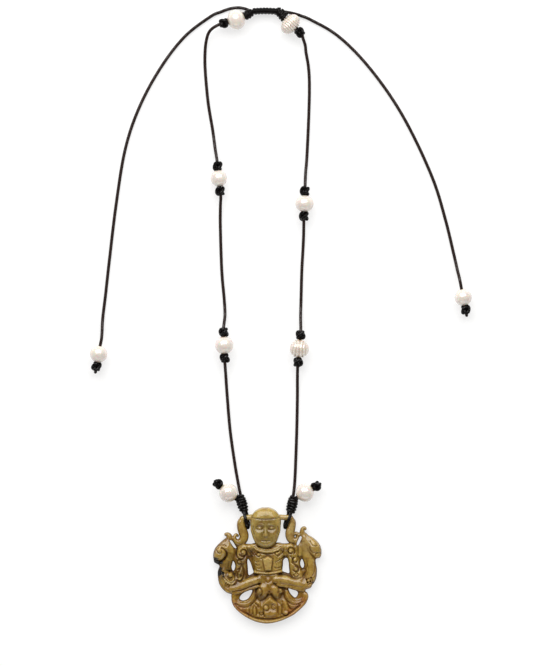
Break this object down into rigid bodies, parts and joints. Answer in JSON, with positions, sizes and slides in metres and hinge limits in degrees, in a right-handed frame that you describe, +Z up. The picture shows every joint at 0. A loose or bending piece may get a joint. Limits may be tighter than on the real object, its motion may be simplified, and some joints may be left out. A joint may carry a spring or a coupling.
{
  "type": "necklace",
  "caption": "Knotted leather cord necklace with single pearls and a pierced carved jade figure pendant, laid flat, closed by a sliding knot.",
  "frame": {"origin": "middle of the pendant's flat back, on the surface that the necklace lies on", "axes": "+Y from the pendant's base towards its head and on along the neck loop; +Z up out of the carved front; +X to the right, seen from the front"},
  "size_m": [0.1907, 0.3087, 0.0104],
  "materials": {
    "jade": "carved tan-green jade, softly polished, browner in the cuts",
    "pearl": "white nacre with a soft lustre; glazed ceramic stands in for nacre",
    "leather_cord": "round black-brown leather cord, slightly waxed",
    "knotted_cord": "the same cord, pulled tight in knots"
  },
  "bodies": {
    "root": {"jade_pendant": "jade", "sliding_knot": "knotted_cord", "coil_knot_left": "knotted_cord", "coil_knot_right": "knotted_cord", "neck_cord_left": "leather_cord", "neck_cord_right": "leather_cord", "tail_cord_left": "leather_cord", "tail_cord_right": "leather_cord", "pearl_top_left": "pearl", "pearl_top_right": "pearl", "pearl_upper_left": "pearl", "pearl_upper_right": "pearl", "pearl_lower_left": "pearl", "pearl_lower_right": "pearl", "pearl_short_left": "pearl", "pearl_short_right": "pearl", "pearl_tail_left": "pearl", "pearl_tail_right": "pearl", "knot_top_left": "knotted_cord", "knot_top_right": "knotted_cord", "knot_upper_left_above": "knotted_cord", "knot_upper_left_below": "knotted_cord", "knot_upper_right_above": "knotted_cord", "knot_upper_right_below": "knotted_cord", "knot_lower_left_above": "knotted_cord", "knot_lower_left_below": "knotted_cord", "knot_lower_right_above": "knotted_cord", "knot_lower_right_below": "knotted_cord", "knot_short_left": "knotted_cord", "knot_short_right": "knotted_cord", "knot_tail_left": "knotted_cord", "knot_tail_right": "knotted_cord"}
  },
  "joints": []
}
